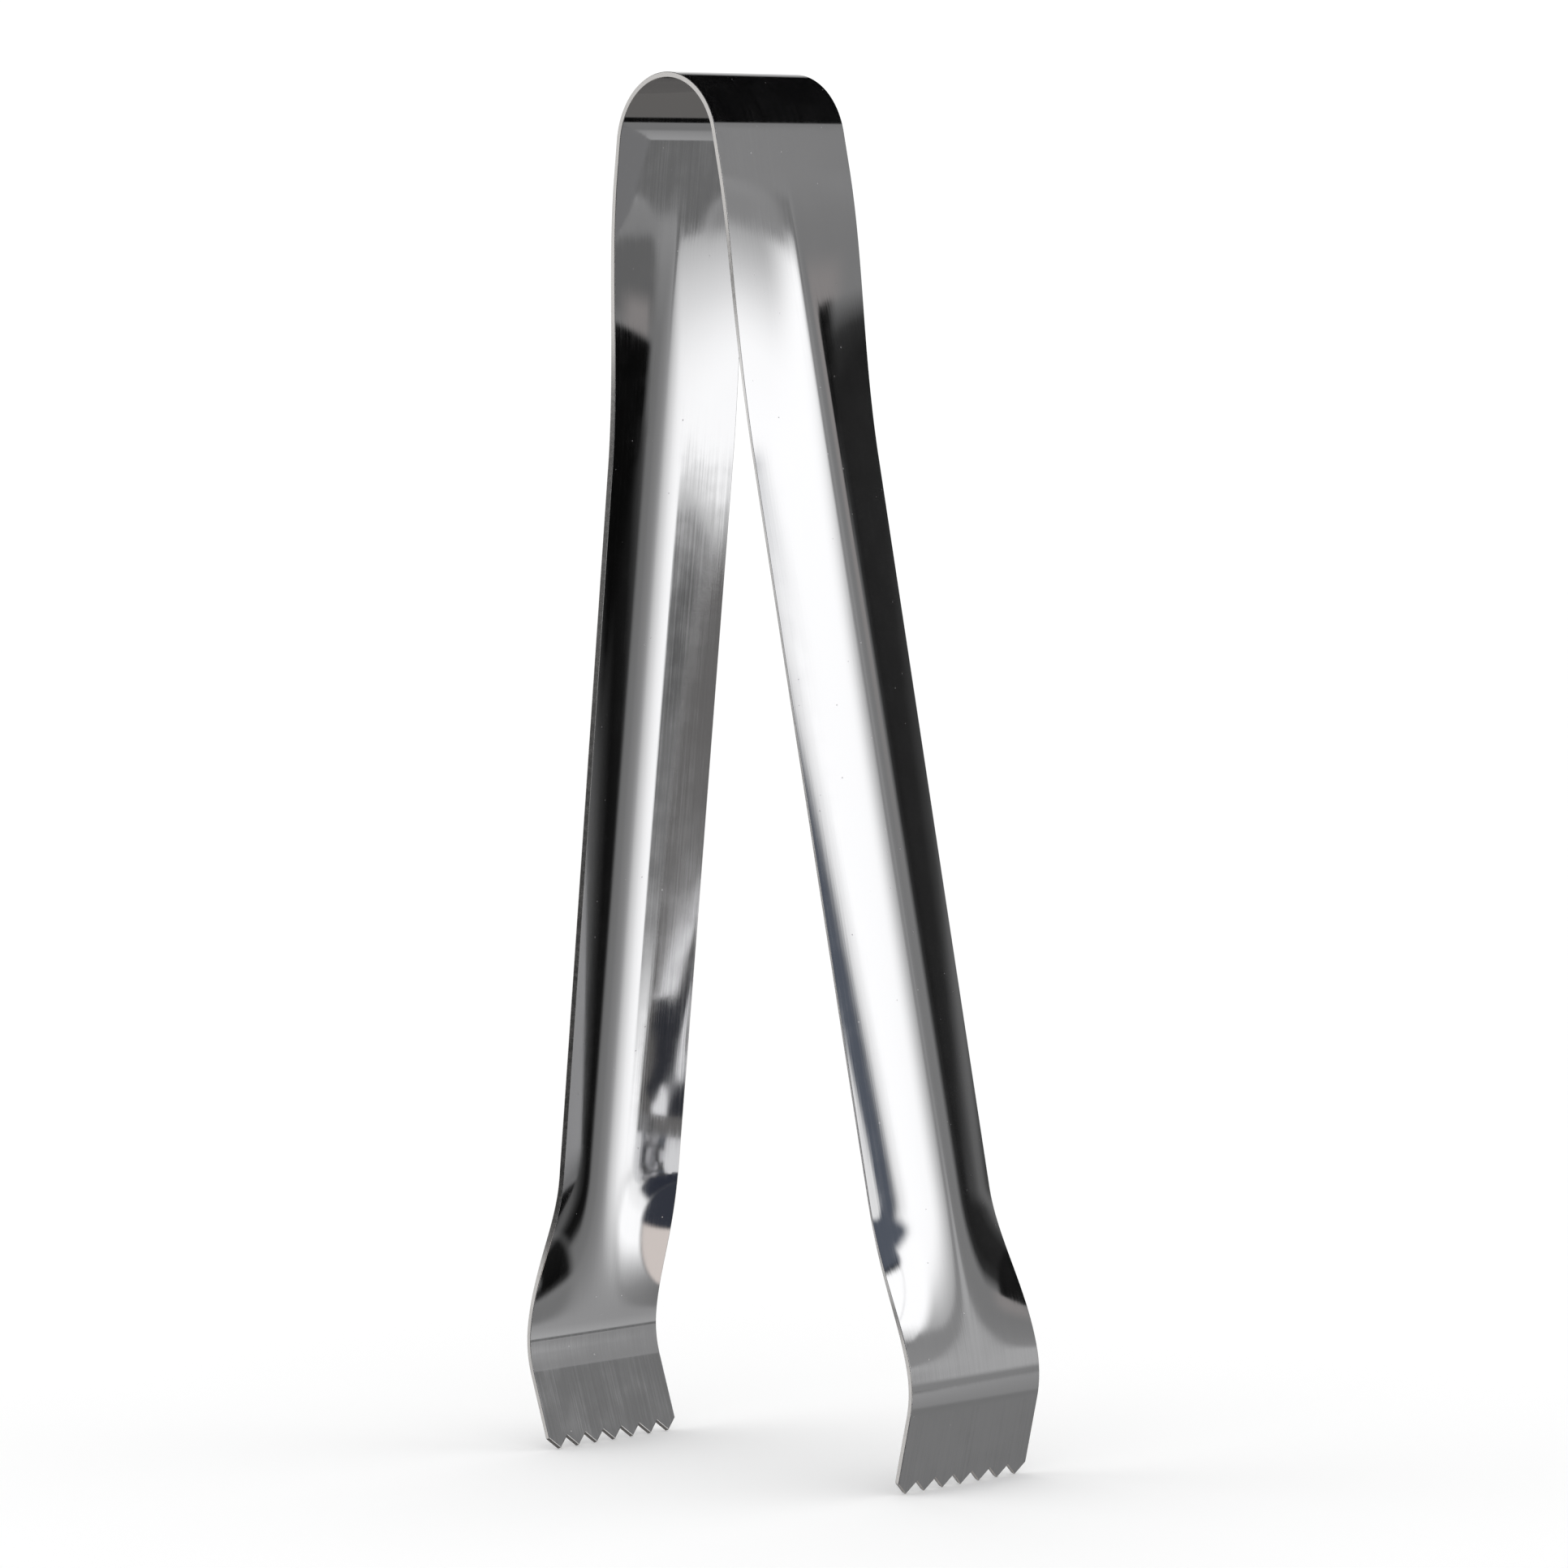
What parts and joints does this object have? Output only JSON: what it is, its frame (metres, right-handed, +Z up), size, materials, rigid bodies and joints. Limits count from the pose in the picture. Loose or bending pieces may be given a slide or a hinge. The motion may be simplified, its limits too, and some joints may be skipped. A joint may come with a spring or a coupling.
{
  "type": "ice tongs",
  "caption": "Sprung ice tongs bent from one strip of polished stainless sheet, with troughed arms and inward-curled toothed claws that close on each other.",
  "frame": {"origin": "on the surface that the teeth stand on, midway between the two claws, under the top of the bow", "axes": "+Z up from the teeth to the bow; X is the direction in which the tongs open; Y runs across the strip"},
  "size_m": [0.0736, 0.022, 0.178],
  "materials": {
    "polished_steel": "mirror polished stainless sheet, with sheared edges a little duller"
  },
  "bodies": {
    "bow": {"spring_bow": "polished_steel"},
    "left_arm": {"left_shoulder": "polished_steel", "left_arm": "polished_steel", "left_claw": "polished_steel"},
    "right_arm": {"right_shoulder": "polished_steel", "right_arm": "polished_steel", "right_claw": "polished_steel"}
  },
  "joints": [
    {"name": "left_flex", "type": "hinge", "parent": "bow", "child": "left_arm", "pos_m": [-0.0057, 0, 0.17566], "axis": [0, -1, 0], "range_deg": [-3, 10.5], "stiffness_Nm_per_rad": 6.4},
    {"name": "right_flex", "type": "hinge", "parent": "bow", "child": "right_arm", "pos_m": [0.0057, 0, 0.17566], "axis": [0, 1, 0], "range_deg": [-3, 10.5], "stiffness_Nm_per_rad": 6.4}
  ]
}
